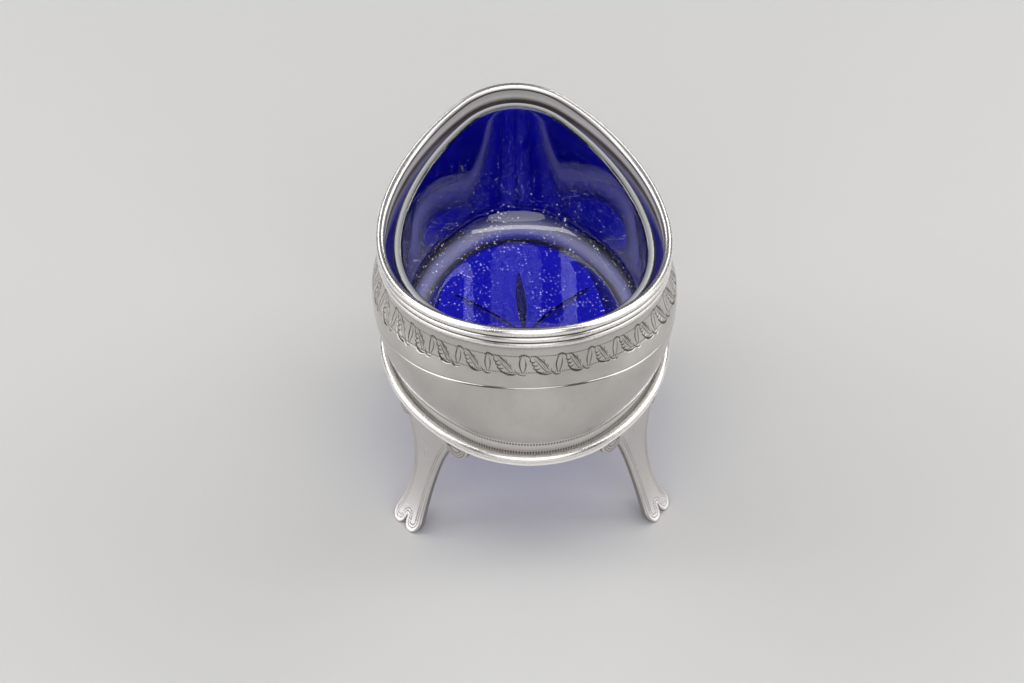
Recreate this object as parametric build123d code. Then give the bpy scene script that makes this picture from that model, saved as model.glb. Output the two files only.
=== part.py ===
from build123d import *
from math import asin, atan2, cos, degrees, pi, radians, sin, sqrt, tan
import os

# A boat-shaped silver salt cellar on four sawn feet, with a lift-out blue glass liner.
# Millimetres. +Z is up, +Y runs along the boat, and the feet stand on Z = 0.

# Rim: sizes over the outside of the rim moulding, whose top rises from the sides to the ends.
RIM_LENGTH = 83.4
RIM_WIDTH = 60.0
RIM_END_RADIUS = 18.4
SIDE_HEIGHT = 53.0
END_HEIGHT = 61.3

# Rim moulding: a bead that caps the wall, with reeds under it that step in one by one.
BEAD_HEIGHT = 1.7
REED_HEIGHT = 1.4
REED_COUNT = 2
REED_STEP = 0.1
GROOVE_DEPTH = 0.6
MOULDING_DEPTH = 1.05
CAP_THICKNESS = 0.9
RIM_STATIONS = 17

# Bowl: an upright foot band, a swelling belly and an upright neck behind the rim moulding.
# The belly swells past the rim, and its ends are rounder than the rim's by the ease.
WALL = 0.8
NECK_MARGIN = 0.5
BELLY_SIDE_SWELL = 1.0
BELLY_END_SWELL = 0.1
BELLY_END_EASE = 1.9
BELLY_DROP = 8.0
BELLY_STATIONS = 7

# Base: a flat ring plate, with a bead and a small reed drawn in one strip round its edge.
# It is set in from the rim, and its ends are rounder than the rim's by the ease.
BASE_SIDE_SET = 0.2
BASE_END_SET = 2.6
BASE_END_EASE = 3.9
BASE_HEIGHT = 24.8
PLATE = 0.6
PLATE_SETBACK = 0.3
BASE_BEAD = 1.7
BASE_REED = 0.8
BEAD_FLAT = 0.2
SEAT_LEDGE = 1.3

# Feet: sawn plates with two scrolled ears under the plate and a cloven, heart-shaped tip.
# Each stands on a side arc of the base, its ear just short of where the end arc begins.
LEG_THICKNESS = 1.2
LEG_INSET = 1.5
LEG_END_GAP = 0.649
LEG_STRAIGHT = 4.3
LEG_TOE = 4.9
EAR_SPAN = 23.0
EAR_CENTRE = 9.3
EAR_DROP = 4.1
NOTCH_SPAN = 13.8
NOTCH_DROP = 3.3
WAIST_WIDTH = 6.5
WAIST_HEIGHT = 8.5
FLANK_WIDTH = 8.0
FLANK_HEIGHT = 2.9
LOBE_SPAN = 5.2
LOBE_TRIM = 0.2
CLEFT_HEIGHT = 2.1

# Glass liner: it stands on the base plate's inner ledge, its rim parallel to the silver one.
LINER_SIDE_GAP = 1.5
LINER_END_GAP = 0.6
LINER_SEAT_GAP = 0.7
LINER_WALL = 2.0
LINER_FLOOR = 3.8
LINER_DROP = 2.8
LINER_CORNER = 3.0
LINER_FLOOR_ROUND = 5.0
LINER_RIM_ROUND = 0.7
LINER_STATIONS = 5

# Star cut under the liner: rays made by a wheel with a mitred edge.
STAR_RAYS = 8
STAR_HUB = 0.6
STAR_MARGIN = 5.12
STAR_DEPTH = 0.9
STAR_MITRE = 100.0

# Solder joint between silver pieces.
SOLDER = 0.08

# Heights that follow from the sizes above.
PLATE_TOP = BASE_HEIGHT + PLATE
FOOT_Z = PLATE_TOP + SOLDER
BAND_Z = FOOT_Z + BASE_BEAD
MOULDING_HEIGHT = BEAD_HEIGHT + REED_COUNT * REED_HEIGHT
NECK_Z = SIDE_HEIGHT - MOULDING_HEIGHT - NECK_MARGIN
BELLY_HEIGHT = NECK_Z - BELLY_DROP
LEG_BEND_HEIGHT = BASE_HEIGHT - LEG_STRAIGHT
ABOVE_ALL = END_HEIGHT + MOULDING_HEIGHT


def shrink(outline, inset):
    """The parallel oval: half-width, half-length and end radius are all less by the inset."""
    return tuple(size - inset for size in outline)


def blend(first, last, share):
    """An oval part of the way from the first to the last."""
    return tuple(p + (q - p) * share for p, q in zip(first, last))


# Plan outlines, each as half-width, half-length and end radius.
BASE_MOULDING_WIDTH = BASE_BEAD + BASE_REED / 2
RIM = (RIM_WIDTH / 2, RIM_LENGTH / 2, RIM_END_RADIUS)
NECK = shrink(RIM, MOULDING_DEPTH)
BELLY = (RIM[0] + BELLY_SIDE_SWELL, RIM[1] + BELLY_END_SWELL, RIM[2] + BELLY_END_EASE)
BASE = (RIM[0] - BASE_SIDE_SET, RIM[1] - BASE_END_SET, RIM[2] + BASE_END_EASE)
FOOT = shrink(BASE, BASE_MOULDING_WIDTH + SOLDER)
LINER_BASE = shrink(FOOT, WALL + LINER_SEAT_GAP)
LINER_RIM = tuple(p - WALL - gap for p, gap in zip(NECK, (LINER_SIDE_GAP, LINER_END_GAP, LINER_END_GAP)))
OPENING = shrink(LINER_BASE, LINER_CORNER + SEAT_LEDGE)
STAR_RADIUS = LINER_BASE[0] - STAR_MARGIN

# The rim's sheer is one arc in side view, through the middle of the sides and the ends of the neck.
SHEER_RISE = END_HEIGHT - SIDE_HEIGHT
SHEER_RADIUS = (NECK[1] ** 2 + SHEER_RISE**2) / (2 * SHEER_RISE)


def side_radius(outline):
    """Radius of the long side arcs that run into the end arcs tangentially."""
    a, b, r = outline
    return (a**2 + (b - r) ** 2 - r**2) / (2 * (a - r))


def side_angle(outline):
    """Half the turn of a long side arc: from the middle of the side to where the end arc begins."""
    a, b, r = outline
    return atan2(b - r, side_radius(outline) - a)


def oval(outline):
    """A closed oval of tangent arcs that starts at the middle of the +X side."""
    a, b, r = outline
    big = side_radius(outline)
    split = side_angle(outline)

    def on_side(angle):
        return a - big + big * cos(angle), big * sin(angle)

    hx, hy = on_side(split / 2)
    tx, ty = on_side(split)
    arcs = [
        ThreePointArc((a, 0), (hx, hy), (tx, ty)),
        ThreePointArc((tx, ty), (0, b), (-tx, ty)),
        ThreePointArc((-tx, ty), (-a, 0), (-tx, -ty)),
        ThreePointArc((-tx, -ty), (0, -b), (tx, -ty)),
        ThreePointArc((tx, -ty), (hx, -hy), (a, 0)),
    ]
    return Wire(arcs)


def oval_face(outline, z):
    """The oval filled in, at height z."""
    return Pos(0, 0, z) * Face(oval(outline))


def prism(outline, bottom, top):
    """An upright solid with the oval as its plan."""
    return extrude(oval_face(outline, bottom), top - bottom)


def sheer(y):
    """How far the rim's curve has risen at this distance from the middle of the boat."""
    return SHEER_RADIUS - sqrt(SHEER_RADIUS**2 - y**2)


def below_sheer(height):
    """Everything under the rim's curve, lowered to pass this height at the middle of the sides."""
    half = RIM_LENGTH / 2 + MOULDING_HEIGHT
    end = height + sheer(half)
    curve = ThreePointArc((-half, end), (0, height), (half, end))
    rest = Polyline((half, end), (half, -half), (-half, -half), (-half, end))
    return extrude(Plane.YZ * make_face(curve + rest), RIM_WIDTH, both=True)


def bowl_outline(z):
    """The bowl's outside at height z: out from the foot band to the belly, then in to the neck."""
    if z <= BELLY_HEIGHT:
        drop = (BELLY_HEIGHT - z) / (BELLY_HEIGHT - BAND_Z)
        return blend(BELLY, FOOT, drop**2)
    climb = (z - BELLY_HEIGHT) / (NECK_Z - BELLY_HEIGHT)
    return blend(BELLY, NECK, (1 - cos(pi * climb)) / 2)


def bowl_form(inset):
    """The bowl as a full solid, with every plan outline moved in by the inset."""
    step = (NECK_Z - BAND_Z) / (BELLY_STATIONS - 1)
    heights = [BAND_Z + k * step for k in range(BELLY_STATIONS)]
    belly = loft([oval_face(shrink(bowl_outline(z), inset), z) for z in heights])
    foot = prism(shrink(FOOT, inset), FOOT_Z, BAND_Z)
    neck = prism(shrink(NECK, inset), NECK_Z, ABOVE_ALL)
    return foot + belly + neck


def bowl_wall():
    """The raised wall, open below, its top edge cut along the sheer under the bead's cap."""
    shell = bowl_form(0) - bowl_form(WALL)
    return shell & below_sheer(SIDE_HEIGHT - CAP_THICKNESS - SOLDER)


def sheer_edges(dish, height):
    """The dish's edges that lie on the sheer curve of this height."""
    middles = [(edge, edge.position_at(0.5)) for edge in dish.edges()]
    return [edge for edge, p in middles if abs(p.Z - height - sheer(p.Y)) < SOLDER]


def moulding_profile():
    """The drawn strip's section: out from the neck across, and down from the bead's top."""
    crown = ((MOULDING_DEPTH - WALL) / 2, 0)
    groove = MOULDING_DEPTH - GROOVE_DEPTH
    shoulder = ((crown[0] - WALL) / 2 - WALL / 4, -CAP_THICKNESS / 4)
    lines = [
        Line((SOLDER, -CAP_THICKNESS), (-WALL, -CAP_THICKNESS)),
        ThreePointArc((-WALL, -CAP_THICKNESS), shoulder, crown),
        ThreePointArc(crown, (MOULDING_DEPTH, -BEAD_HEIGHT / 2), (groove, -BEAD_HEIGHT)),
    ]
    for k in range(REED_COUNT):
        top = -BEAD_HEIGHT - k * REED_HEIGHT
        crest = (MOULDING_DEPTH - (k + 1) * REED_STEP, top - REED_HEIGHT / 2)
        lines.append(ThreePointArc((groove, top), crest, (groove, top - REED_HEIGHT)))
    lines.append(Line((groove, -MOULDING_HEIGHT), (SOLDER, -MOULDING_HEIGHT)))
    lines.append(Line((SOLDER, -MOULDING_HEIGHT), (SOLDER, -CAP_THICKNESS)))
    return make_face(lines)


def rim_station(run):
    """The upright plane square to the neck, this far along it from the middle of a side, at rim height."""
    a, b, r = NECK
    big = side_radius(NECK)
    split = side_angle(NECK)
    on_side = run <= big * split
    heading = run / big if on_side else split + (run - big * split) / r
    out = Vector(cos(heading), sin(heading), 0)
    spot = Vector(a - big, 0, 0) + out * big if on_side else Vector(0, b - r, 0) + out * r
    lift = Vector(0, 0, SIDE_HEIGHT + sheer(spot.Y))
    return Plane(spot + lift, x_dir=out, z_dir=out.cross(Vector(0, 0, 1)))


def rim_moulding():
    """The strip bent round the neck along the sheer: a quarter through even stations, mirrored twice."""
    step = oval(NECK).length / 4 / (RIM_STATIONS - 1)
    quarter = loft([rim_station(k * step) * moulding_profile() for k in range(RIM_STATIONS)])
    half = quarter + mirror(quarter, about=Plane.YZ)
    return half + mirror(half, about=Plane.XZ)


def base_plate():
    """The flat ring that closes the bowl's foot round an oval opening and carries the liner."""
    return prism(shrink(BASE, PLATE_SETBACK), BASE_HEIGHT, PLATE_TOP) - prism(OPENING, BASE_HEIGHT, PLATE_TOP)


def base_moulding():
    """A bead and a small reed in one strip, flattened underneath and bent round the base plate."""
    edge = BASE[0]
    centre = edge - BASE_BEAD / 2
    inner = edge - BASE_MOULDING_WIDTH
    bead = Pos(centre, BASE_BEAD / 2 - BEAD_FLAT) * Circle(BASE_BEAD / 2)
    small = Pos(inner + BASE_REED / 2, BASE_REED / 2 - BEAD_FLAT) * Circle(BASE_REED / 2)
    above = Pos(centre, BASE_BEAD / 2) * Rectangle(2 * BASE_BEAD + 2 * BASE_REED, BASE_BEAD)
    profile = Plane.XZ * ((bead + small) & above)
    return Pos(0, 0, FOOT_Z) * sweep(profile, path=oval(BASE))


def leg_outline(top):
    """The sawn outline, drawn flat: u across the leg, z up. The +u half is drawn and mirrored."""
    ear = top - EAR_DROP
    notch = (NOTCH_SPAN / 2, top - NOTCH_DROP)
    waist = (WAIST_WIDTH / 2, WAIST_HEIGHT)
    flank = (FLANK_WIDTH / 2, FLANK_HEIGHT)
    cleft = (0, CLEFT_HEIGHT)
    lines = [
        Line((0, top), (EAR_SPAN / 2, top)),
        ThreePointArc((EAR_SPAN / 2, top), (EAR_CENTRE, ear), notch),
        TangentArc(waist, notch, tangent=(0, 1)),
        TangentArc(waist, flank, tangent=(0, -1)),
        ThreePointArc(flank, (LOBE_SPAN / 2, -LOBE_TRIM), cleft),
        Line(cleft, (0, top)),
    ]
    half = make_face(lines)
    return half + mirror(half, about=Plane.YZ)


def leg_plate():
    """The leg before it is sawn: a plate on the base's side arc that hangs straight, then splays out."""
    top = BASE_HEIGHT - SOLDER
    front = side_radius(BASE) - LEG_INSET
    back = front - LEG_THICKNESS
    out = LEG_TOE + LEG_INSET
    bend = (LEG_BEND_HEIGHT**2 + out**2) / (2 * out)
    centre = (front + bend, LEG_BEND_HEIGHT)
    turn = degrees(asin(LEG_BEND_HEIGHT / bend) + LEG_THICKNESS / bend)
    front_arc = CenterArc(centre, bend, 180, turn)
    back_arc = CenterArc(centre, bend + LEG_THICKNESS, 180, turn)
    section = [
        Line((front, top), front_arc @ 0),
        front_arc,
        Line(front_arc @ 1, back_arc @ 1),
        back_arc,
        Line(back_arc @ 0, (back, top)),
        Line((back, top), (front, top)),
    ]
    spread = degrees(EAR_SPAN / front)
    return Rot(0, 0, -spread) * revolve(Plane.XZ * make_face(section), Axis.Z, 2 * spread)


def leg():
    """The foot on the +X side towards +Y, sawn from its bent plate and filed flat where it stands."""
    top = BASE_HEIGHT - SOLDER
    big = side_radius(BASE)
    ground = Pos(0, -top / 2) * Rectangle(2 * EAR_SPAN, top)
    saw_cut = Plane.YZ * (leg_outline(top) - ground)
    foot = leg_plate() & extrude(saw_cut, 2 * big)
    azimuth = side_angle(BASE) - (EAR_SPAN / 2 + LEG_END_GAP) / big
    return Pos(BASE[0] - big, 0, 0) * Rot(0, 0, degrees(azimuth)) * foot


def liner_outline(z):
    """The liner's outside at height z: full above its rounded foot, and upright towards the rim."""
    climb = (z - PLATE_TOP) / (END_HEIGHT - PLATE_TOP)
    return blend(LINER_BASE, LINER_RIM, 1 - (1 - climb) ** 2)


def liner_form(bottom, inset, corner):
    """A full solid of the liner's plan outlines moved in by the inset, with a rounded lower edge."""
    step = (END_HEIGHT - bottom) / (LINER_STATIONS - 1)
    heights = [bottom + k * step for k in range(LINER_STATIONS)]
    form = loft([oval_face(shrink(liner_outline(z), inset), z) for z in heights])
    return fillet(form.edges().group_by(Axis.Z)[0], corner)


def star_wheel():
    """The part of the mitred wheel's edge that grinds the ray along +X."""
    half = (STAR_RADIUS - STAR_HUB) / 2
    radius = (half**2 + STAR_DEPTH**2) / (2 * STAR_DEPTH)
    centre = Vector(STAR_HUB + half, 0, PLATE_TOP + STAR_DEPTH - radius)
    depth = 2 * STAR_DEPTH
    width = depth * tan(radians(STAR_MITRE / 2))
    mitre = make_face(Polyline((-width, radius - depth), (0, radius), (width, radius - depth), close=True))
    reach = 2 * degrees(asin(half / radius))
    spindle = Axis(centre, (0, 1, 0))
    start = (Plane(centre, x_dir=(0, 1, 0), z_dir=(1, 0, 0)) * mitre).rotate(spindle, -reach)
    return revolve(start, spindle, 2 * reach)


def liner():
    """The glass dish: outer form less inner form, cut along the sheer, with the star ground under it."""
    outer = liner_form(PLATE_TOP, 0, LINER_CORNER)
    inner = liner_form(PLATE_TOP + LINER_FLOOR, LINER_WALL, LINER_FLOOR_ROUND)
    top = SIDE_HEIGHT - LINER_DROP
    dish = (outer - inner) & below_sheer(top)
    dish = fillet(sheer_edges(dish, top), LINER_RIM_ROUND)
    return dish - [Rot(0, 0, 360 * k / STAR_RAYS) * star_wheel() for k in range(STAR_RAYS)]


corner = leg()
nodes = {
    "bowl_wall": bowl_wall(),
    "rim_moulding": rim_moulding(),
    "base_plate": base_plate(),
    "base_moulding": base_moulding(),
    "leg_rear_right": corner,
    "leg_rear_left": mirror(corner, about=Plane.YZ),
    "leg_front_right": mirror(corner, about=Plane.XZ),
    "leg_front_left": Rot(0, 0, 180) * corner,
    "liner": liner(),
}

os.makedirs("parts", exist_ok=True)
for name, shape in nodes.items():
    export_step(shape, f"parts/{name}.step")
    print(name, f"{shape.volume:.1f} mm3")
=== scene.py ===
# %% [markdown]
# # An open salt in silver and blue glass
# The object is a boat-shaped silver frame on four sawn feet, with a loose liner of cobalt glass.
# The measured part comes in as a fixed frame, and every piece is then rebuilt here at a finer
# scale, with its engraving, rounded edges and finish. All shapes are worked out with numpy as
# surfaces of two parameters, because the silver follows a few exact curves: tangent arcs in plan
# and one arc, the sheer, in side view.

# %% Load the measured frame
import bpy
import numpy as np
from mathutils import Matrix
from mathutils.geometry import delaunay_2d_cdt


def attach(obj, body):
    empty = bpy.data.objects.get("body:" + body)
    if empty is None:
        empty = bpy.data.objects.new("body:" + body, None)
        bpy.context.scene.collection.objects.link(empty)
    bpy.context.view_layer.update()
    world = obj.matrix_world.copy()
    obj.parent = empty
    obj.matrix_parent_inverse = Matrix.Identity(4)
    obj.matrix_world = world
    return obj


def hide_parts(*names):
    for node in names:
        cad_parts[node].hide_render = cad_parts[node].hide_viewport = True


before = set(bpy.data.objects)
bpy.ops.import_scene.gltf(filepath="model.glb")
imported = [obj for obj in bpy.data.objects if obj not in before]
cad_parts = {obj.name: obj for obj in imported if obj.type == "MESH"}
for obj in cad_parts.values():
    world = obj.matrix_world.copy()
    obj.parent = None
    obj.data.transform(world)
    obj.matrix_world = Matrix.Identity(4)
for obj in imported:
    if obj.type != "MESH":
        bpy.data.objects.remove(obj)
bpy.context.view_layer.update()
print("CAD nodes:", ", ".join(sorted(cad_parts)))

# %% [markdown]
# ## The sizes
# The sizes are those of the part, in millimetres, so that each new surface lies on the solid it
# stands for. A plan outline is written as half-width, half-length and end radius.

# %% Sizes and plan outlines
MM = 0.001
SIDE_HEIGHT, END_HEIGHT = 53.0, 61.3
FOOT_Z, BAND_Z, BELLY_Z, NECK_Z = 25.48, 27.18, 40.0, 48.0
PLATE_LOW, PLATE_TOP = 24.8, 25.4
WALL = 0.8
CAP_THICKNESS, SOLDER = 0.9, 0.08
RIM_DEPTH, BASE_DEPTH = 1.05, 2.1
SEAT_GAP = 0.7
RIM_GAPS = np.array([1.5, 0.6, 0.6])
RIM = np.array([30.0, 41.7, 18.4])
NECK = RIM - RIM_DEPTH
BELLY = np.array([31.0, 41.8, 20.3])
BASE = np.array([29.8, 39.1, 22.3])
FOOT = BASE - BASE_DEPTH - SOLDER
LINER_BASE = FOOT - WALL - SEAT_GAP
LINER_RIM = NECK - WALL - RIM_GAPS
SHEER_RISE = END_HEIGHT - SIDE_HEIGHT
SHEER_RADIUS = (NECK[1] ** 2 + SHEER_RISE**2) / (2 * SHEER_RISE)


def sheer(y):
    """Rise of the rim at y: the sheer radius less the root of its square less y squared."""
    return SHEER_RADIUS - np.sqrt(SHEER_RADIUS**2 - y**2)


print(f"rim rises {SHEER_RISE:.1f} mm on a radius of {SHEER_RADIUS:.1f} mm")

# %% [markdown]
# ## Walking round an oval
# A drawn moulding is bent round the plan, so the plan has to be walked at an even pace. Each
# quarter is a long side arc and a short end arc that share a tangent. Away from the middle of a
# side, the heading grows by distance over radius, first on the side arc, then on the end arc.

# %% The oval by distance and by angle
def side_arc(outline):
    """Radius of the side arcs, and the heading at which the end arcs take over."""
    a, b, r = outline
    big = (a**2 + (b - r) ** 2 - r**2) / (2 * (a - r))
    return big, np.arctan2(b - r, big - a)


def oval(outline, t):
    """Point and outward normal at share t of the way round, from the middle of the +X side.

    On a side arc the point is (a - R + R cos h, R sin h), and on an end arc (r cos h, b - r +
    r sin h), for a heading h that is also the normal's. The quarters are mirror images."""
    a, b, r = outline
    big, split = side_arc(outline)
    side = big * split
    quarter = side + r * (np.pi / 2 - split)
    turn = 4 * (t % 1.0)
    number = np.floor(turn)
    run = np.where(number % 2 == 1, number + 1 - turn, turn - number) * quarter
    on_side = run <= side
    heading = np.where(on_side, run / big, split + (run - side) / r)
    cos, sin = np.cos(heading), np.sin(heading)
    x = np.where(on_side, a - big + big * cos, r * cos)
    y = np.where(on_side, big * sin, b - r + r * sin)
    sign_x = np.where((number == 0) | (number == 3), 1, -1)
    sign_y = np.where(number < 2, 1, -1)
    return sign_x * x, sign_y * y, sign_x * cos, sign_y * sin


def oval_ray(outline, angle):
    """Point where a ray from the centre at this angle leaves the oval.

    The distance is k cos(angle - centre) plus the root of radius squared less the miss squared,
    on the arc whose sector the ray is in."""
    a, b, r = outline
    big, split = side_arc(outline)
    cos, sin = np.abs(np.cos(angle)), np.abs(np.sin(angle))
    corner_x, corner_y = a - big + big * np.cos(split), big * np.sin(split)
    side = (a - big) * cos + np.sqrt(np.maximum(big**2 - ((a - big) * sin) ** 2, 0))
    end = (b - r) * sin + np.sqrt(np.maximum(r**2 - ((b - r) * cos) ** 2, 0))
    reach = np.where(sin * corner_x <= cos * corner_y, side, end)
    return reach * np.cos(angle), reach * np.sin(angle)


def rim_lift(t):
    """Height of the rim's top at share t of the way round, on the neck's outline."""
    return SIDE_HEIGHT + sheer(oval(NECK, t)[1])


MEASURE_STEPS = 4000
around = np.linspace(0, 1, MEASURE_STEPS + 1)
neck_x, neck_y = oval(NECK, around)[:2]
NECK_LENGTH = np.hypot(np.diff(neck_x), np.diff(neck_y)).sum()
print(f"the neck is {NECK_LENGTH:.1f} mm round")

# %% [markdown]
# ## From a grid to a mesh
# Each piece is a grid of points that closes on itself round the oval. A closed section makes a
# ring, as a bent strip does. The helper below also stores two values at each point for the
# finishes. On silver, the first goes from 0 in the open to 1 in a groove that a cloth never reaches,
# and it also paints a shadow, a dark line behind the liner's rim; "matt" is 1 where the metal was
# left unpolished. On glass, the first marks what glows pale: the ground rim, and a painted
# highlight, an arc in the round at the edge of the floor; "matt" marks the side on which glowing
# specks of salt have settled.

# %% Grid helpers
pieces = []


def ring_faces(rows, columns, closed=False, first=0):
    """Quads between neighbouring rows, closed round the columns, and round the rows for a section."""
    row = np.arange(rows if closed else rows - 1)[:, None]
    column = np.arange(columns)
    low = first + row * columns
    high = first + (row + 1) % rows * columns
    right = (column + 1) % columns
    quads = np.stack([low + column, low + right, high + right, high + column], -1)
    return quads.reshape(-1, 4).tolist()


def make_piece(name, points, faces, nodes, recess, crease=38.0, matt=0.0, body="frame"):
    """A mesh from points in millimetres, smooth except where two faces meet above the crease angle."""
    mesh = bpy.data.meshes.new(name)
    mesh.from_pydata((points.reshape(-1, 3) * MM).tolist(), [], faces)
    # the first value holds real tarnish and painted light: a painted shadow on silver, a glow mask on
    # glass
    for label, values in (("recess", recess), ("matt", matt)):
        layer = mesh.attributes.new(label, "FLOAT", "POINT")
        spread = np.broadcast_to(np.clip(values, 0, 1).ravel(), len(mesh.vertices))
        layer.data.foreach_set("value", spread.astype(np.float32))
    mesh.shade_smooth()
    mesh.set_sharp_from_angle(angle=np.radians(crease))
    piece = bpy.data.objects.new(name, mesh)
    bpy.context.scene.collection.objects.link(piece)
    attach(piece, body)
    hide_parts(*nodes)
    pieces.append(piece)
    triangle_count = sum(len(face) - 2 for face in faces)
    print(f"{name}: {len(mesh.vertices)} points, {triangle_count} triangles")


def arc(start, through, end, count):
    """Points on the circle through three points, the last one left out.

    With the points as complex numbers, the centre comes from the ratio of the two chords."""
    p, q, s = complex(*start), complex(*through), complex(*end)
    ratio = (s - p) / (q - p)
    centre = p + (q - p) * (ratio - abs(ratio) ** 2) / (2j * ratio.imag)
    half = np.angle((q - centre) / (p - centre)) % (2 * np.pi)
    whole = np.angle((s - centre) / (p - centre)) % (2 * np.pi)
    sweep = whole if half <= whole else whole - 2 * np.pi
    spots = centre + (p - centre) * np.exp(1j * sweep * np.arange(count) / count)
    return np.stack([spots.real, spots.imag], -1)


# %% [markdown]
# ## The reeded rim
# The rim is a drawn strip: a bead that caps the raw edge of the wall, and two reeds below it. It is
# bent round the neck and follows the sheer. A sweep modifier would twist it at the ends, so the
# section is kept in the upright plane square to the neck and lifted to the rim's height there.

# %% Rim moulding
def sweep_round(outline, section, stations, lift):
    """Each section point (out, up) goes to oval point + out times normal, at height up + lift."""
    t = np.arange(stations) / stations
    x, y, nx, ny = oval(outline, t)
    out, up = section[:, 0, None], section[:, 1, None]
    grid = np.broadcast_arrays(x + out * nx, y + out * ny, up + lift(t))
    return np.stack(grid, -1)


def groove_shade(section, bottoms, reach):
    """1 at the bottom of a groove, down to 0 at this reach from it, for each section point."""
    gap = np.hypot(*(section[:, None, :] - np.array(bottoms)[None]).transpose(2, 0, 1))
    return np.clip(1 - gap.min(1) / reach, 0, 1)


STATIONS = 720
BEAD, REED, REEDS = 1.7, 1.4, 2
GROOVE, REED_STEP = 0.42, 0.1
REED_POINTS, BEAD_POINTS, CAP_POINTS = 14, 20, 10
strip = [np.array([[SOLDER, -BEAD - REEDS * REED]])]
for k in reversed(range(REEDS)):
    top = -BEAD - k * REED
    crest = (RIM_DEPTH - REED_STEP * (k + 1), top - REED / 2)
    strip.append(arc((GROOVE, top - REED), crest, (GROOVE, top), REED_POINTS))
crown = ((RIM_DEPTH - WALL) / 2, 0.0)
strip.append(arc((GROOVE, -BEAD), (RIM_DEPTH, -BEAD / 2), crown, BEAD_POINTS))
inner_edge = (-WALL, -CAP_THICKNESS)
shoulder = ((crown[0] - WALL) / 2 - WALL / 4, -CAP_THICKNESS / 4)
strip.append(arc(crown, shoulder, inner_edge, CAP_POINTS))
strip.append(np.array([inner_edge, (SOLDER, -CAP_THICKNESS)]))
strip = np.concatenate(strip)
GROOVE_REACH, INNER_REACH = 0.45, 0.8
GROOVE_DARKNESS = 2.0
grooves = [(GROOVE, -BEAD - k * REED) for k in range(REEDS + 1)]
rim_shade = np.maximum(
    GROOVE_DARKNESS * groove_shade(strip, grooves, GROOVE_REACH),
    groove_shade(strip, [inner_edge], INNER_REACH),
)
rim_points = sweep_round(NECK, strip, STATIONS, rim_lift)
make_piece(
    "reeded_rim",
    rim_points,
    ring_faces(len(strip), STATIONS, closed=True),
    ["rim_moulding"],
    np.repeat(rim_shade, STATIONS),
)

# %% [markdown]
# ## The base ring
# Under the wall a flat ring of plate carries the liner, and a second strip, a bead with a small
# reed behind it, hides the plate's edge. Both are plain sections carried round the base's oval.
# The strip is the union of two circles on a flat, so its section goes over the big one to where
# they cross, then over the small one.

# %% Base moulding
BIG_POINTS, SMALL_POINTS = 34, 12
BASE_REACH = 0.22
bead_r, reed_r, flat = 0.85, 0.4, 0.2
bead_c = complex(-bead_r, bead_r - flat)
reed_c = complex(-BASE_DEPTH + reed_r, reed_r - flat)
apart = abs(reed_c - bead_c)
along = (apart**2 + bead_r**2 - reed_r**2) / (2 * apart)
unit = (reed_c - bead_c) / apart
crossing = bead_c + unit * (along - 1j * np.sqrt(bead_r**2 - along**2))
outer_foot = bead_c + np.sqrt(bead_r**2 - bead_c.imag**2) - 1j * bead_c.imag
inner_foot = reed_c - np.sqrt(reed_r**2 - reed_c.imag**2) - 1j * reed_c.imag


def xy(spot):
    """A complex number as a pair."""
    return spot.real, spot.imag


bead = np.concatenate(
    [
        arc(xy(outer_foot), xy(bead_c + bead_r), xy(crossing), BIG_POINTS),
        arc(xy(crossing), xy(reed_c + reed_r * 1j), xy(inner_foot), SMALL_POINTS),
        np.array([xy(inner_foot)]),
    ]
)
bead_points = sweep_round(BASE, bead, STATIONS, lambda t: FOOT_Z + 0 * t)
bead_shade = groove_shade(bead, [xy(crossing), xy(inner_foot)], BASE_REACH)
make_piece(
    "base_bead",
    bead_points,
    ring_faces(len(bead), STATIONS, closed=True),
    ["base_moulding"],
    np.repeat(bead_shade, STATIONS),
)

# %% Base plate
ROUND = 0.12
edge_in, edge_out = -7.98, -0.3
plate = np.array(
    [
        (edge_in + ROUND, PLATE_LOW),
        (edge_out - ROUND, PLATE_LOW),
        (edge_out, PLATE_LOW + ROUND),
        (edge_out, PLATE_TOP - ROUND),
        (edge_out - ROUND, PLATE_TOP),
        (edge_in + ROUND, PLATE_TOP),
        (edge_in, PLATE_TOP - ROUND),
        (edge_in, PLATE_LOW + ROUND),
    ]
)
plate_points = sweep_round(BASE, plate, STATIONS, lambda t: 0 * t)
make_piece(
    "base_ring",
    plate_points,
    ring_faces(len(plate), STATIONS, closed=True),
    ["base_plate"],
    np.zeros(plate_points.shape[:2]),
    matt=1.0,
)

# %% [markdown]
# ## The wall
# The wall is raised from sheet: it stands up from the foot, swells to a belly and comes back to an
# upright neck. Going round is one parameter and going up is the other. The lower rows are
# level, and the upper rows keep a fixed drop below the rim, so that the engraved lines follow the
# sheer as the graver did. Round the foot, an unpolished cove runs between two lines of roulette
# dots, which need finer columns: there the grid doubles, with five-sided faces where the coarse
# columns meet the fine ones. Inside, a painted shadow, a dark line, lies behind the liner's rim.

# %% The wall's form
COLUMNS = 900
FINE = 2 * COLUMNS
t_wall = np.arange(COLUMNS) / COLUMNS
t_fine = np.arange(FINE) / FINE


def bowl_outline(z):
    """The plan at height z: out from the foot by the square of the drop below the belly, and in to
    the neck by half a cosine wave."""
    drop = np.clip((BELLY_Z - z) / (BELLY_Z - BAND_Z), 0, 1)
    climb = np.clip((z - BELLY_Z) / (NECK_Z - BELLY_Z), 0, 1)
    low = drop**2
    high = (1 - np.cos(np.pi * climb)) / 2
    return [p + (q - p) * low + (s - p) * high for p, q, s in zip(BELLY, FOOT, NECK)]


def wall_points(t, z, inset):
    """Points of the wall at share t round and height z, moved in along the plan's normal."""
    x, y, nx, ny = oval(bowl_outline(z), t)
    return np.stack([x - inset * nx, y - inset * ny, z + 0 * x], -1)


def level(heights, t):
    """Rows at fixed heights."""
    return np.asarray(heights)[:, None] + 0 * t


def under_rim(drops, t):
    """Rows at fixed drops below the rim's top."""
    return rim_lift(t) - np.asarray(drops)[:, None]


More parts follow.
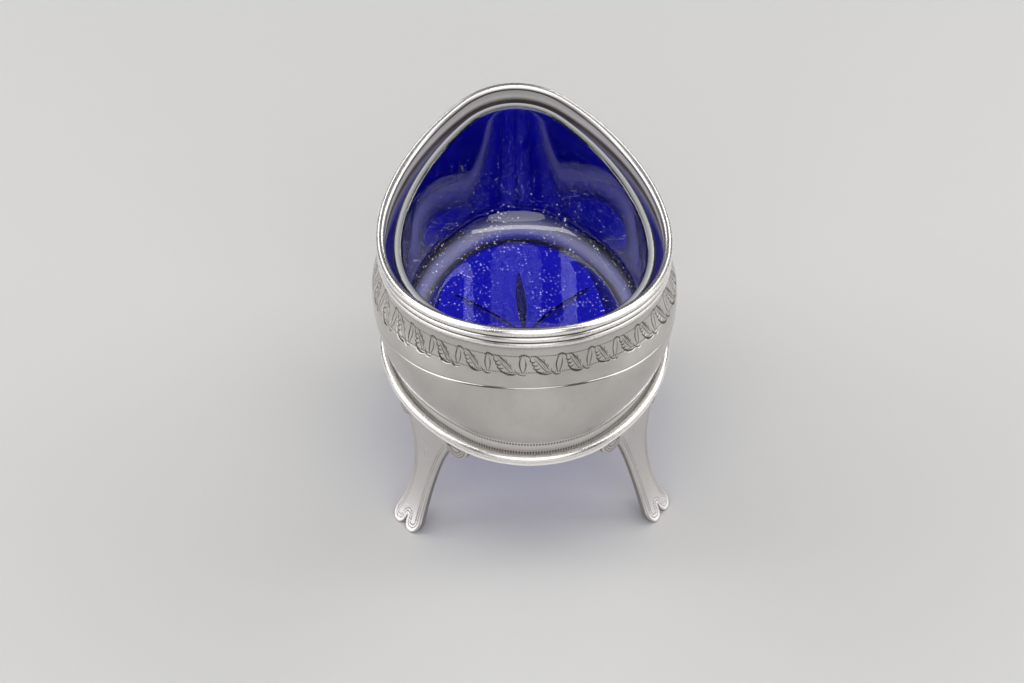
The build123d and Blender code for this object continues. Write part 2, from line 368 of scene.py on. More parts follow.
def v_groove(offset, half_width, depth):
    """A V-shaped cut: full depth at offset 0, nothing beyond the half-width."""
    return depth * np.clip(1 - np.abs(offset) / half_width, 0, 1)


print(f"the wall has {COLUMNS} columns, and {FINE} where it is dotted or engraved")

# %% The dotted lines round the foot
CUT_ROWS = np.linspace(-1, 1, 5)
DOT_LINES = [(26.62, 0.42), (30.5, 0.7)]
COVE_ROWS = [27.2, 27.7, 28.4, 29.1, 29.5]
DOTS = FINE // 5
DOT_DEPTH, DOT_SHADE = 0.22, 3.2
dot_rows = [middle + reach * CUT_ROWS for middle, reach in DOT_LINES]
fine_rows = np.sort(np.concatenate([*dot_rows, COVE_ROWS]))
fine_z = level(fine_rows, t_fine)
dot_wave = np.clip(np.cos(2 * np.pi * DOTS * t_fine), 0, 1)
dot_lines = sum(v_groove(fine_rows - middle, reach, 1.0) for middle, reach in DOT_LINES)
dot_cut = dot_lines[:, None] * dot_wave
print(f"{len(DOT_LINES)} lines of {DOTS} dots")

# %% The other rows of the wall
BAND_TOP, BAND_BOTTOM = 7.0, 11.1
HOOP_TOP, HOOP_BOTTOM = 6.4, 12.1
HOOP_DEPTH = 0.35
LINE_DROP, LINE_REACH, LINE_DEPTH = 14.8, 0.18, 0.12
LINE_OFFSETS = np.array([0.4, 0.18, 0.09, 0.0, -0.09, -0.18, -0.4])
SWELL_LOW, SWELL_GAP, SWELL_ROWS = 31.4, 0.8, 17
SHOULDER_DROPS = [13.8, 12.9, HOOP_BOTTOM]
LOW_ROWS = [FOOT_Z, 26.1]
SEAT_ROWS, DEEP_ROWS = 7, 11
NECK_DROPS = [HOOP_TOP, 5.6, 5.0, 4.5, 3.0, CAP_THICKNESS + SOLDER]
LINER_DROP = 2.8
# painted shadow: rows for a dark line on the inner wall, just behind the liner's rim
SHADOW_OFFSETS = np.array([0.9, 0.4, 0.0, -0.5, -1.0, -1.5])
low_z = level(LOW_ROWS, t_wall)
swell_top = under_rim([LINE_DROP + SWELL_GAP], t_wall)
swell = SWELL_LOW + (swell_top - SWELL_LOW) * np.linspace(0, 1, SWELL_ROWS)[:, None]
line_z = under_rim(LINE_DROP + LINE_OFFSETS, t_wall)
upper_z = np.concatenate([swell, line_z, under_rim(SHOULDER_DROPS, t_wall)])
line_groove = v_groove(LINE_OFFSETS, LINE_REACH, LINE_DEPTH)
line_cut = np.concatenate([np.zeros(SWELL_ROWS), line_groove, np.zeros(len(SHOULDER_DROPS))])
hoop_seat = under_rim(np.linspace(HOOP_BOTTOM, HOOP_TOP, SEAT_ROWS), t_wall)
neck_z = under_rim(NECK_DROPS, t_wall)
inner_top = under_rim(NECK_DROPS[-1:], t_wall)
liner_line = SIDE_HEIGHT - LINER_DROP + sheer(oval(LINER_RIM, t_wall)[1])
shadow_z = liner_line + SHADOW_OFFSETS[:, None]
share_down = np.arange(1, DEEP_ROWS + 1)[:, None] / DEEP_ROWS
deep_z = shadow_z[-1] + (FOOT_Z - shadow_z[-1]) * share_down
inner_z = np.concatenate([inner_top, shadow_z, deep_z])
print(f"the engraved hoop is {HOOP_BOTTOM - HOOP_TOP:.1f} mm high")

# %% The wall's points and shades
PATINA = 0.22
LOW_SHADES, LINE_SHADE = [0.2, 0.0], 0.5
NECK_SHADES = [PATINA, PATINA, 0.4, 0.7, 1, 1]
# the shadow shades paint a shadow: a dark line on the inner wall behind the liner's rim
TOP_SHADE, SHADOW_SHADES = 0.35, [0.06, 0.5, 0.95, 0.95, 0.7, 0.15]
MATT_SHARES = [0.85, 0.85, 0.0, 0.0, 0.0, 1.0]
blocks = [
    wall_points(t_wall, low_z, 0),
    wall_points(t_fine, fine_z, DOT_DEPTH * dot_cut),
    wall_points(t_wall, upper_z, line_cut[:, None]),
    wall_points(t_wall, hoop_seat, HOOP_DEPTH),
    wall_points(t_wall, neck_z, 0),
    wall_points(t_wall, inner_z, WALL),
]
inner_shade = np.concatenate([[TOP_SHADE], SHADOW_SHADES, np.zeros(DEEP_ROWS)])
shades = [
    level(LOW_SHADES, t_wall),
    DOT_SHADE * dot_cut,
    level(np.maximum(LINE_SHADE * line_cut / LINE_DEPTH, PATINA), t_wall),
    level(np.zeros(SEAT_ROWS), t_wall),
    level(NECK_SHADES, t_wall),
    level(inner_shade, t_wall),
]
matts = [np.full(block.size // 3, share) for block, share in zip(blocks, MATT_SHARES)]
print("rows of the wall:", [len(block) for block in blocks])

# %% Bowl wall
first_fine = low_z.size
first_upper = first_fine + fine_z.size
upper_rows = sum(len(block) for block in blocks[2:])
last_row = first_upper + (upper_rows - 1) * COLUMNS
column = np.arange(COLUMNS)
beside = (column + 1) % COLUMNS
fine_left, fine_mid, fine_right = 2 * column, 2 * column + 1, 2 * beside


def five_sided(coarse, fine, fine_above):
    """Faces that join a coarse row to a fine one: one edge on the coarse side, two on the fine."""
    pair = [coarse + column, coarse + beside]
    three = [fine + fine_left, fine + fine_mid, fine + fine_right]
    order = pair + three[::-1] if fine_above else three + pair[::-1]
    return np.stack(order, -1).tolist()


closing = np.stack([last_row + column, last_row + beside, beside, column], -1).tolist()
wall_faces = (
    ring_faces(len(low_z), COLUMNS)
    + five_sided((len(low_z) - 1) * COLUMNS, first_fine, True)
    + ring_faces(len(fine_z), FINE, first=first_fine)
    + five_sided(first_upper, first_fine + (len(fine_z) - 1) * FINE, False)
    + ring_faces(upper_rows, COLUMNS, first=first_upper)
    + closing
)
make_piece(
    "raised_wall",
    np.concatenate([block.reshape(-1, 3) for block in blocks]),
    wall_faces,
    ["bowl_wall"],
    np.concatenate([shade.ravel() for shade in shades]),
    matt=np.concatenate(matts),
)

# %% [markdown]
# ## The engraved leaf scroll
# A running scroll goes round under the rim: a serrated leaf leans down to the right, its stem
# turns under it and climbs in a narrow loop to the next leaf, and dotted lines edge the band. A
# picture would be flat, so the cuts are real: each stroke is a curve in the band's own
# flat pattern, and a graver's V, deeper where it is wider, is taken out of a dense hoop of the wall.

# %% The strokes of one repeat
REPEATS = 30
PITCH = NECK_LENGTH / REPEATS
BAND = BAND_BOTTOM - BAND_TOP
LEAF = [
    (0.22, [(0.28, 1.00), (0.43, 0.99), (0.58, 0.74), (0.71, 0.42), (0.82, 0.02)]),
    (0.17, [(0.36, 0.98), (0.47, 0.66), (0.60, 0.30), (0.72, 0.06), (0.88, -0.06)]),
    (0.21, [(0.31, 0.88), (0.29, 0.71), (0.36, 0.62), (0.45, 0.71)]),
    (0.21, [(0.35, 0.64), (0.34, 0.48), (0.42, 0.41), (0.51, 0.50)]),
    (0.21, [(0.41, 0.43), (0.37, 0.27), (0.45, 0.19), (0.58, 0.28)]),
    (0.29, [(0.40, 0.20), (0.46, 0.07), (0.58, -0.08), (0.74, -0.13), (0.88, -0.10)]),
    (0.15, [(0.60, 0.86), (0.655, 0.74), (0.67, 0.56)]),
    (0.15, [(0.71, 0.58), (0.76, 0.46), (0.775, 0.28)]),
    (0.15, [(0.46, 0.92), (0.54, 0.70), (0.62, 0.48)]),
    (0.14, [(0.58, 0.56), (0.66, 0.35), (0.74, 0.14)]),
]
LOOP = [
    (0.21, [(0.10, 1.00), (0.03, 0.80), (0.00, 0.48), (0.02, 0.18), (0.07, -0.06)]),
    (0.18, [(0.07, -0.06), (0.13, 0.14), (0.165, 0.42), (0.17, 0.68), (0.14, 0.92)]),
    (0.23, [(0.00, 0.84), (0.05, 1.03), (0.15, 1.08), (0.25, 0.99), (0.31, 0.80)]),
    (0.20, [(-0.15, 0.26), (-0.12, 0.04), (-0.03, -0.12), (0.08, -0.16), (0.18, -0.07)]),
]


def smooth_stroke(knots, steps=7):
    """A Catmull-Rom curve: between two knots, a cubic that leaves each along its neighbours' chord."""
    knots = np.array(knots)
    padded = np.concatenate([2 * knots[:1] - knots[1:2], knots, 2 * knots[-1:] - knots[-2:-1]])
    s = (np.arange(steps) / steps)[:, None]
    p0, p1, p2, p3 = (padded[k : len(padded) - 3 + k, None] for k in range(4))
    bend = 2 * p1 + (p2 - p0) * s + (2 * p0 - 5 * p1 + 4 * p2 - p3) * s**2
    curve = (bend + (3 * p1 - p0 - 3 * p2 + p3) * s**3) / 2
    return np.concatenate([curve.reshape(-1, 2), knots[-1:]])


print(f"{len(LEAF) + len(LOOP)} strokes in each of {REPEATS} repeats of {PITCH:.2f} mm")

# %% Cutting the scroll
HOOP_ROWS, BACK_ROWS = 50, 5
GRAVER_SLOPE = 0.75
END_WIDTH, TAPER = 0.35, 0.7


def unsteady(size, waves, start):
    """A slow sine round the band, for a hand that spaces the leaves by eye."""
    return size * np.sin(2 * np.pi * waves * t_fine + start)


hand = unsteady(0.025, 5, 0.6) + unsteady(0.018, 11, 2.1)
lean = unsteady(0.05, 7, 1.3)
hoop_drop = np.linspace(HOOP_BOTTOM, HOOP_TOP, HOOP_ROWS)
up_band = ((BAND_BOTTOM - hoop_drop) / BAND)[:, None]
along_band = (REPEATS * t_fine + hand)[None] + lean * (up_band - 0.5)
cut = np.zeros(along_band.shape)
for half_width, knots in LEAF + LOOP:
    curve = smooth_stroke(knots)
    shares = (np.arange(len(curve) - 1) + 0.5) / (len(curve) - 1)
    widths = half_width * (END_WIDTH + (1 - END_WIDTH) * np.sin(np.pi * shares) ** TAPER)
    for (p, q), step, width in zip(curve[:-1], np.diff(curve, axis=0), widths):
        dx = ((along_band - p + 0.5) % 1.0 - 0.5) * PITCH
        dy = (up_band - q) * BAND
        sx, sy = step[0] * PITCH, step[1] * BAND
        nearest = np.clip((dx * sx + dy * sy) / (sx**2 + sy**2), 0, 1)
        distance = np.hypot(dx - nearest * sx, dy - nearest * sy)
        cut = np.maximum(cut, (width - distance) * GRAVER_SLOPE)
print(f"deepest cut of the scroll {cut.max():.2f} mm")

# %% Engraved hoop
BAND_DOTS = FINE // 4
EDGING_REACH, EDGING_DEPTH, EDGING_FILL = 0.24, 0.20, 0.3
SHADE_FROM, SHADE_RANGE = 0.015, 0.075
edging = np.clip(np.cos(2 * np.pi * BAND_DOTS * t_fine) + EDGING_FILL, 0, 1)
for border in (0.0, 1.0):
    edge_line = v_groove((up_band - border) * BAND, EDGING_REACH, EDGING_DEPTH)
    cut = np.maximum(cut, edge_line * edging)
hoop_z = under_rim(hoop_drop, t_fine)
back_z = under_rim(np.linspace(HOOP_TOP, HOOP_BOTTOM, BACK_ROWS), t_fine)
hoop_front = wall_points(t_fine, hoop_z, cut)
hoop_back = wall_points(t_fine, back_z, HOOP_DEPTH)
front_shade = np.maximum((cut - SHADE_FROM) / SHADE_RANGE, PATINA)
make_piece(
    "engraved_band",
    np.concatenate([hoop_front, hoop_back]),
    ring_faces(HOOP_ROWS + BACK_ROWS, FINE, closed=True),
    ["bowl_wall"],
    np.concatenate([front_shade, np.zeros(back_z.shape)]),
    crease=60.0,
)

# %% [markdown]
# ## The sawn feet
# Each foot is sawn from thick plate: two scrolled ears under the base, a narrow shaft and a
# cloven, heart-shaped tip, then bent outwards. The outline is drawn flat, filled with triangles
# whose points lie on lines parallel to the edge, and only then wrapped: the plate lies on the
# base's side arc, hangs straight and splays on a second arc. The border cuts depend on the
# distance from the edge alone, so they follow the outline everywhere.

# %% The foot's flat outline
LEG_TOP = PLATE_LOW - SOLDER
LEG_THICKNESS, LEG_INSET, LEG_TOE, LEG_END_GAP = 1.2, 1.5, 4.9, 0.649
BEND_Z = 20.5
EAR_SPAN = 23.0
EDGE_ROUND = 0.30
STEP, TOP_STEP = 0.14, 0.4
ARC_POINTS, UPPER_POINTS, LOWER_POINTS = 60, 90, 50
ear_end, ear_low, notch = (EAR_SPAN / 2, LEG_TOP), (9.3, LEG_TOP - 4.1), (6.9, LEG_TOP - 3.3)
waist, flank = (3.25, 8.5), (4.0, 2.9)
lobe_low, cleft, lobe_limit = (2.5, -0.04), (0.0, 2.1), (0.02, 0.0)


def side_sweep(end, count):
    """From the waist, where the edge is upright, an arc to another point.

    The arc's centre is level with the waist."""
    across, rise = end[0] - waist[0], end[1] - waist[1]
    radius = (across**2 + rise**2) / (2 * across)
    turn = np.linspace(0, np.arcsin(rise / radius), count)
    return np.stack([waist[0] + radius * (1 - np.cos(turn)), waist[1] + radius * np.sin(turn)], -1)


def evenly(points, step):
    """The same line with its points at even steps."""
    run = np.concatenate([[0], np.hypot(*np.diff(points, axis=0).T).cumsum()])
    spots = np.linspace(0, run[-1], max(int(run[-1] / step), 2))
    return np.stack([np.interp(spots, run, points[:, k]) for k in range(2)], -1)


ear = np.concatenate([arc(ear_end, ear_low, notch, ARC_POINTS), [notch]])
shaft = np.concatenate([side_sweep(notch, UPPER_POINTS)[::-1], side_sweep(flank, LOWER_POINTS)[1:]])
lobe = np.concatenate([arc(flank, lobe_low, cleft, ARC_POINTS), [cleft]])
lobe = np.maximum(lobe, lobe_limit)
right_half = np.concatenate([evenly(line, STEP)[:-1] for line in (ear, shaft, lobe)])
left_half = right_half[:0:-1] * (-1, 1)
tip = np.array([cleft])
top_edge = evenly(np.array([(-EAR_SPAN / 2, LEG_TOP), ear_end]), TOP_STEP)[:-1]
outline = np.concatenate([right_half, tip, left_half, top_edge])[::-1]
following = np.roll(outline, -1, axis=0)
print(f"the foot's outline has {len(outline)} points")


# %% Lines parallel to the edge
def edge_distance(points, line):
    """Distance from each point to a closed line, and how far along the line the nearest spot is."""
    step = np.roll(line, -1, axis=0) - line
    length = np.hypot(*step.T)
    before = np.concatenate([[0], length.cumsum()[:-1]])
    rel = points[:, None] - line[None]
    share = np.clip((rel * step).sum(-1) / length**2, 0, 1)
    gap = np.hypot(*(rel - share[..., None] * step).transpose(2, 0, 1))
    near = gap.argmin(1)
    pick = np.arange(len(points))
    return gap[pick, near], before[near] + share[pick, near] * length[near]


def inside(points):
    """True where a line to the right crosses the outline an odd number of times."""
    x, y = points[:, None, 0], points[:, None, 1]
    crosses = (outline[:, 1] > y) != (following[:, 1] > y)
    rise = np.where(following[:, 1] == outline[:, 1], 1.0, following[:, 1] - outline[:, 1])
    meet = outline[:, 0] + (following[:, 0] - outline[:, 0]) * (y - outline[:, 1]) / rise
    return (crosses & (x < meet)).sum(1) % 2 == 1


BORDERS, BORDER_REACH, BORDER_DEPTH = [0.85, 1.35], 0.13, 0.08
EDGE_RINGS, INNER_RINGS = [0.04, 0.10, 0.19, EDGE_ROUND, 0.50], [1.8, 2.2]
RING_SLACK, FAN = 0.96, 84
tangent = following - np.roll(outline, 1, axis=0)
tangent /= np.hypot(*tangent.T)[:, None]
inward = np.stack([-tangent[:, 1], tangent[:, 0]], -1)
around_cuts = [line + BORDER_REACH * CUT_ROWS for line in BORDERS]
rings = np.concatenate([EDGE_RINGS, *around_cuts, INNER_RINGS])
corners = np.array([notch, (-notch[0], notch[1]), cleft])
fan = np.linspace(0, 2 * np.pi, FAN + 1)[1:]
spokes = np.stack([np.cos(fan), np.sin(fan)], -1)
ring_points = []
for d in rings:
    round_corners = (corners[:, None] + d * spokes).reshape(-1, 2)
    ring_line = np.concatenate([outline + d * inward, round_corners])
    ring_line = ring_line[edge_distance(ring_line, outline)[0] > RING_SLACK * d]
    ring_points.append(ring_line[inside(ring_line)])
print(f"{len(rings)} lines, {sum(len(line) for line in ring_points)} points")

# %% Filling the outline
GRID, FIELD_LOW, FIELD_GAP = 0.6, 0.2, 0.25
FIELD_SHIFT, SHIFT_ABOVE = 0.15, 8
INSIDE_ONLY, MERGE = 1, 1e-6
across_field = np.arange(-EAR_SPAN / 2, EAR_SPAN / 2, GRID)
up_field = np.arange(FIELD_LOW, LEG_TOP, GRID)
grid_u, grid_z = (axis.ravel() for axis in np.meshgrid(across_field, up_field))
field = np.stack([grid_u + FIELD_SHIFT * (grid_z > SHIFT_ABOVE), grid_z], -1)
field = field[inside(field)]
field = field[edge_distance(field, outline)[0] > rings[-1] + FIELD_GAP]
flat_points = np.concatenate([outline, *ring_points, field])
count = len(outline)
edge_loop = [(k, (k + 1) % count) for k in range(count)]
filled = delaunay_2d_cdt(flat_points.tolist(), edge_loop, [], INSIDE_ONLY, MERGE)
flat_points = np.array([tuple(p) for p in filled[0]])
triangles = np.array(filled[2])
a, b, c = (flat_points[triangles[:, k]] for k in range(3))
winding = (b[:, 0] - a[:, 0]) * (c[:, 1] - a[:, 1]) - (b[:, 1] - a[:, 1]) * (c[:, 0] - a[:, 0])
triangles[winding < 0] = triangles[winding < 0][:, ::-1]
print(f"the flat foot has {len(flat_points)} points and {len(triangles)} triangles")

# %% The cuts on the foot
DOT_FILL, DOT_SWING, DOT_STEPS = 0.45, 0.75, 3
EAR_FROM, EAR_DROP, PLAIN_TOP = 6.6, 4.3, 1.0
SCROLL_START, SCROLL_PITCH, SCROLL_REACH, SCROLL_EDGE = 0.3, 0.48, 0.17, 0.45
u, z = flat_points.T
from_edge, along_edge = edge_distance(flat_points, outline)
at_cleft = np.hypot(u - cleft[0], z - cleft[1]) < from_edge + MERGE
round_cleft = np.mean(BORDERS) * np.arctan2(u - cleft[0], z - cleft[1])
along_edge = along_edge + np.where(at_cleft, round_cleft, 0)
dot_turn = 2 * np.pi * along_edge / (DOT_STEPS * STEP)
dots = np.clip(DOT_FILL + DOT_SWING * np.cos(dot_turn), 0, 1)
border_lines = sum(v_groove(from_edge - line, BORDER_REACH, BORDER_DEPTH) for line in BORDERS)
on_ear = (np.abs(u) > EAR_FROM) & (z > LEG_TOP - EAR_DROP)
from_line = (from_edge - SCROLL_START) % SCROLL_PITCH - SCROLL_PITCH / 2
scroll = v_groove(from_line, SCROLL_REACH, BORDER_DEPTH) * (from_edge > SCROLL_EDGE)
border_cut = np.where(on_ear, scroll, border_lines * dots)
border_cut[LEG_TOP - z < PLAIN_TOP] = 0
print(f"border cuts up to {border_cut.max():.2f} mm deep")

# %% Wrapping and placing the feet
BACK_ROUND, SAWN = 0.5, 0.12
BACK_SHADE, SAWN_SHADE = 0.4, 0.55
big_base, split_base = side_arc(BASE)
front = big_base - LEG_INSET
splay = LEG_TOE + LEG_INSET
bend = (BEND_Z**2 + splay**2) / (2 * splay)
below_bend = np.clip(BEND_Z - z, 0, None)
front_at = front + bend - np.sqrt(bend**2 - below_bend**2)
back_at = front + bend - np.sqrt((bend + LEG_THICKNESS) ** 2 - below_bend**2)
rounding = np.clip(EDGE_ROUND - from_edge, 0, None)
edge_fall = EDGE_ROUND - np.sqrt(EDGE_ROUND**2 - rounding**2)
edge_fall[LEG_TOP - z < MERGE] = 0
front_reach = front_at - edge_fall - border_cut
back_reach = back_at + BACK_ROUND * edge_fall
sawn_reach = front_reach[:count] - SAWN


def wrapped(reach):
    """The first flat points (u, z), one for each reach, on cylinders of these radii.

    x is the root of the radius squared less u squared."""
    some = len(reach)
    return np.stack([np.sqrt(reach**2 - u[:some] ** 2), u[:some], z[:some]], -1)


local = np.concatenate([wrapped(front_reach), wrapped(back_reach), wrapped(sawn_reach)])
side_count = len(flat_points)
ring = np.arange(count)
after = (ring + 1) % count
sawn = 2 * side_count
leg_faces = (
    triangles.tolist()
    + (triangles[:, ::-1] + side_count).tolist()
    + np.stack([ring, ring + sawn, after + sawn, after], -1).tolist()
    + np.stack([ring + sawn, ring + side_count, after + side_count, after + sawn], -1).tolist()
)
azimuth = split_base - (EAR_SPAN / 2 + LEG_END_GAP) / big_base
turned = np.stack(
    [
        local[:, 0] * np.cos(azimuth) - local[:, 1] * np.sin(azimuth) + BASE[0] - big_base,
        local[:, 0] * np.sin(azimuth) + local[:, 1] * np.cos(azimuth),
        local[:, 2],
    ],
    -1,
)
back_shade, sawn_shade = np.full(side_count, BACK_SHADE), np.full(count, SAWN_SHADE)
leg_shade = np.concatenate([border_cut / BORDER_DEPTH, back_shade, sawn_shade])
for corner, flip_x, flip_y in (
    ("rear_right", 1, 1),
    ("rear_left", -1, 1),
    ("front_right", 1, -1),
    ("front_left", -1, -1),
):
    make_piece(
        f"foot_{corner}",
        turned * (flip_x, flip_y, 1),
        leg_faces if flip_x * flip_y > 0 else [face[::-1] for face in leg_faces],
        [f"leg_{corner}"],
        leg_shade,
        crease=50.0,
    )

# %% [markdown]
# ## The glass liner
# The liner is pressed glass, ground flat on its rim and cut under its foot with an eight-ray
# star. One closed skin makes it: from the middle of the underside out, up the outside, over the
# rim, down the inside and back along the floor. Its columns are rays from the centre, so each cut
# of the star lies along a column and keeps a crisp bottom. The ground rim is made pale by a faint
# glow, and salt has dried on the inside alone as specks, which glow too. A painted highlight, a
# faint glowing arc, lies in the round at the edge of the floor.

# %% The liner's form
RAYS = 8
LINER_COLUMNS = 640
LINER_WALL, LINER_FLOOR = 2.0, 3.8
CORNER, RIM_ROUND = 3.0, 0.7
FLOOR_SWEEP, FLOOR_RISE = 8.0, 4.6
FLOOR_Z = PLATE_TOP + LINER_FLOOR
STAR_HUB, STAR_RADIUS, STAR_DEPTH, MITRE = 0.6, 21.0, 0.9, np.radians(50)
angle = np.arange(LINER_COLUMNS) * 2 * np.pi / LINER_COLUMNS
liner_top = SIDE_HEIGHT - LINER_DROP + sheer(oval_ray(LINER_RIM, angle)[1])


def liner_rows(z, inset):
    """Rows of the liner: its plan at height z, less the inset.

    The plan blends from foot to rim as 1 - (1 - climb) squared."""
    z = np.broadcast_to(z, np.broadcast(z, inset, angle).shape)
    climb = (z - PLATE_TOP) / (END_HEIGHT - PLATE_TOP)
    share = 1 - (1 - climb) ** 2
    plan = [p + (q - p) * share - inset for p, q in zip(LINER_BASE, LINER_RIM)]
    x, y = oval_ray(plan, angle)
    return np.stack([x, y, z], -1)


def star_cut(x, y):
    """Depth of the star at a point of the underside.

    It is the wheel's arc along the ray, less the distance across it over the mitre's slope."""
    half = (STAR_RADIUS - STAR_HUB) / 2
    wheel = (half**2 + STAR_DEPTH**2) / (2 * STAR_DEPTH)
    turn = np.arange(RAYS) * 2 * np.pi / RAYS
    out = x[..., None] * np.cos(turn) + y[..., None] * np.sin(turn)
    across = np.abs(y[..., None] * np.cos(turn) - x[..., None] * np.sin(turn))
    chord = np.sqrt(np.maximum(wheel**2 - (out - STAR_HUB - half) ** 2, 0)) - (wheel - STAR_DEPTH)
    return np.maximum(chord - across / np.tan(MITRE), 0).max(-1)


def disc(row, steps):
    """Rows of a flat disc inside a ring: the ring drawn in towards the centre by each share."""
    shares = np.linspace(0, 1, steps + 1)[1:-1, None, None]
    return row * shares * (1, 1, 0) + row * (0, 0, 1)


print(f"the liner's rim lies between {liner_top.min():.1f} and {liner_top.max():.1f} mm")

# %% The liner's rows
UNDER_ROWS, CORNER_ROWS, SIDE_ROWS, LIP_ROWS, ROUND_ROWS, FLOOR_ROWS = 56, 9, 16, 7, 17, 20
foot_turn = np.linspace(0, np.pi / 2, CORNER_ROWS)[:, None]
foot_round = liner_rows(
    PLATE_TOP + CORNER * (1 - np.cos(foot_turn)),
    CORNER * (1 - np.sin(foot_turn)),
)
underside = disc(foot_round[:1], UNDER_ROWS)
underside[..., 2] += star_cut(underside[..., 0], underside[..., 1])
wall_low, wall_foot = PLATE_TOP + CORNER, FLOOR_Z + FLOOR_RISE
share_up = np.linspace(0, 1, SIDE_ROWS)[1:, None]
outside = liner_rows(wall_low + (liner_top - RIM_ROUND - wall_low) * share_up, 0.0)
rim_turn = np.linspace(0, np.pi / 2, LIP_ROWS)[1:, None]
rim_out = liner_rows(
    liner_top - RIM_ROUND * (1 - np.sin(rim_turn)),
    RIM_ROUND * (1 - np.cos(rim_turn)),
)
rim_back = rim_turn[::-1] - rim_turn[0]
rim_in = liner_rows(
    liner_top - RIM_ROUND * (1 - np.sin(rim_back)),
    LINER_WALL - RIM_ROUND * (1 - np.cos(rim_back)),
)
share_back = share_up[::-1][1:]
inner_side = liner_rows(wall_foot + (liner_top - RIM_ROUND - wall_foot) * share_back, LINER_WALL)
floor_turn = np.linspace(np.pi / 2, 0, ROUND_ROWS)[:, None]
floor_round = liner_rows(
    FLOOR_Z + FLOOR_RISE * (1 - np.cos(floor_turn)),
    LINER_WALL + FLOOR_SWEEP * (1 - np.sin(floor_turn)),
)
floor = disc(floor_round[-1:], FLOOR_ROWS)[::-1]
outer_skin = np.concatenate([underside, foot_round, outside, rim_out])
skin = np.concatenate([outer_skin, rim_in, inner_side, floor_round, floor])
rows = len(skin)
print(f"{rows} rows from the star to the floor, {len(outer_skin)} of them outside")

# %% Glass liner
GROUND_DEPTH = 0.04
# painted highlight: the film is a glowing pale arc in the round at the edge of the floor; the ground
# rim glows pale too
SALT_FILM, FILM_POWER = 0.34, 9
pale = np.clip(1 - (liner_top - skin[..., 2]) / GROUND_DEPTH, 0, 1)
film = SALT_FILM * np.sin(2 * floor_turn) ** FILM_POWER
pale[-len(floor) - len(floor_round) : -len(floor)] += film
salted = np.repeat(np.arange(rows) >= len(outer_skin), LINER_COLUMNS)
star_middle = PLATE_TOP + star_cut(np.zeros(1), np.zeros(1))[0]
poles = np.array([[0, 0, star_middle], [0, 0, FLOOR_Z]])
low_pole, high_pole = rows * LINER_COLUMNS, rows * LINER_COLUMNS + 1
spot = np.arange(LINER_COLUMNS)
next_spot = (spot + 1) % LINER_COLUMNS
last = (rows - 1) * LINER_COLUMNS
liner_faces = (
    ring_faces(rows, LINER_COLUMNS)
    + np.stack([next_spot, spot, np.full(LINER_COLUMNS, low_pole)], -1).tolist()
    + np.stack([last + spot, last + next_spot, np.full(LINER_COLUMNS, high_pole)], -1).tolist()
)
make_piece(
    "glass_liner",
    np.concatenate([skin.reshape(-1, 3), poles]),
    liner_faces,
    ["liner"],
    np.concatenate([pale.ravel(), [0, 0]]),
    crease=25.0,
    matt=np.concatenate([salted, [False, True]]).astype(float),
    body="liner",
)

# %% [markdown]
# ## Finishes
# Old silver is bright where it is rubbed and brown where it isn't. One shared group of nodes works
# out a mask of tarnish and painted shade, from the first stored values and some cloudy noise, a fine
# scratch height and a smudge mask; the painted shade is the dark line behind the liner's rim. Three
# silvers use it: a polished one for the wall, a rubbed one for the rim and base, and a satin one for
# the feet. Where the metal was left unpolished, as inside and in the cove, it has the dull white of
# silver that was pickled and never burnished, so it is made less metallic.

# %% Node helpers
def link(tree, source, target):
    """Joins an output socket to an input socket."""
    tree.links.new(source, target)


def add_node(tree, kind, inputs=None, **settings):
    """A node with its settings, and values for its named inputs."""
    node = tree.nodes.new(kind)
    for key, value in settings.items():
        setattr(node, key, value)
    for key, value in (inputs or {}).items():
        node.inputs[key].default_value = value
    return node


def new_group(name, inputs, outputs):
    """An empty shader node group with float sockets, and its two end nodes."""
    group = bpy.data.node_groups.new(name, "ShaderNodeTree")
    for label in inputs:
        group.interface.new_socket(label, in_out="INPUT", socket_type="NodeSocketFloat")
    for label in outputs:
        group.interface.new_socket(label, in_out="OUTPUT", socket_type="NodeSocketFloat")
    return group, group.nodes.new("NodeGroupInput"), group.nodes.new("NodeGroupOutput")


def math_node(tree, operation, first, second):
    """A math node whose two inputs are sockets or plain numbers."""
    node = add_node(tree, "ShaderNodeMath", operation=operation)
    for socket, value in zip(node.inputs, (first, second)):
        if isinstance(value, (int, float)):
            socket.default_value = value
        else:
            link(tree, value, socket)
    return node.outputs[0]


def times_plus(tree, socket, factor, more):
    """A socket times a factor, plus a number or another socket."""
    return math_node(tree, "ADD", math_node(tree, "MULTIPLY", socket, factor), more)


def noise(tree, vector, scale, detail=3.0, rough=0.55):
    """Noise of about one over scale metres across."""
    values = {"Scale": scale, "Detail": detail, "Roughness": rough}
    node = add_node(tree, "ShaderNodeTexNoise", values)
    link(tree, vector, node.inputs["Vector"])
    return node.outputs["Fac"]


def stretched(tree, vector, scale, turn):
    """Coordinates pulled out along one turned direction, for streaks."""
    node = add_node(tree, "ShaderNodeMapping", {"Scale": scale, "Rotation": turn})
    link(tree, vector, node.inputs["Vector"])
    return node.outputs["Vector"]


def between(tree, value, low, high):
    """0 at low and before it, 1 at high and past it, and even in between."""
    node = add_node(tree, "ShaderNodeMapRange", {"From Min": low, "From Max": high}, clamp=True)
    link(tree, value, node.inputs["Value"])
    return node.outputs["Result"]
